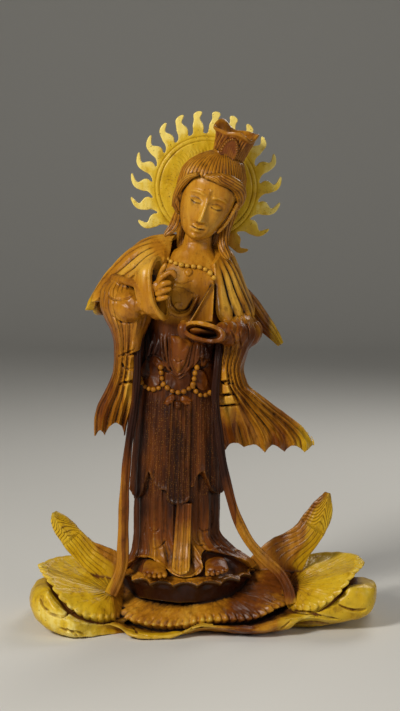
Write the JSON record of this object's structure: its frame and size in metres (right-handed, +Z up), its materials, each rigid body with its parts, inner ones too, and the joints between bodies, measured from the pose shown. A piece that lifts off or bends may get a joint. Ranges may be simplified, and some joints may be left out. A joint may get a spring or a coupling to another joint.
{
  "type": "guanyin figure",
  "caption": "Standing robed guanyin figure with flame-edged halo and tall crown, carved in one block with its lotus-leaf plinth from two-tone wood",
  "frame": {"origin": "middle of the bounding box in plan, on the plane the underside of the plinth stands on", "axes": "+Z up, -Y the way the figure faces, +X to the right of someone looking at its front"},
  "size_m": [0.398, 0.1817, 0.5987],
  "materials": {
    "carved_wood": "satin varnish over two-tone wood"
  },
  "bodies": {
    "root": {"guanyin_figure": "carved_wood"}
  },
  "joints": []
}
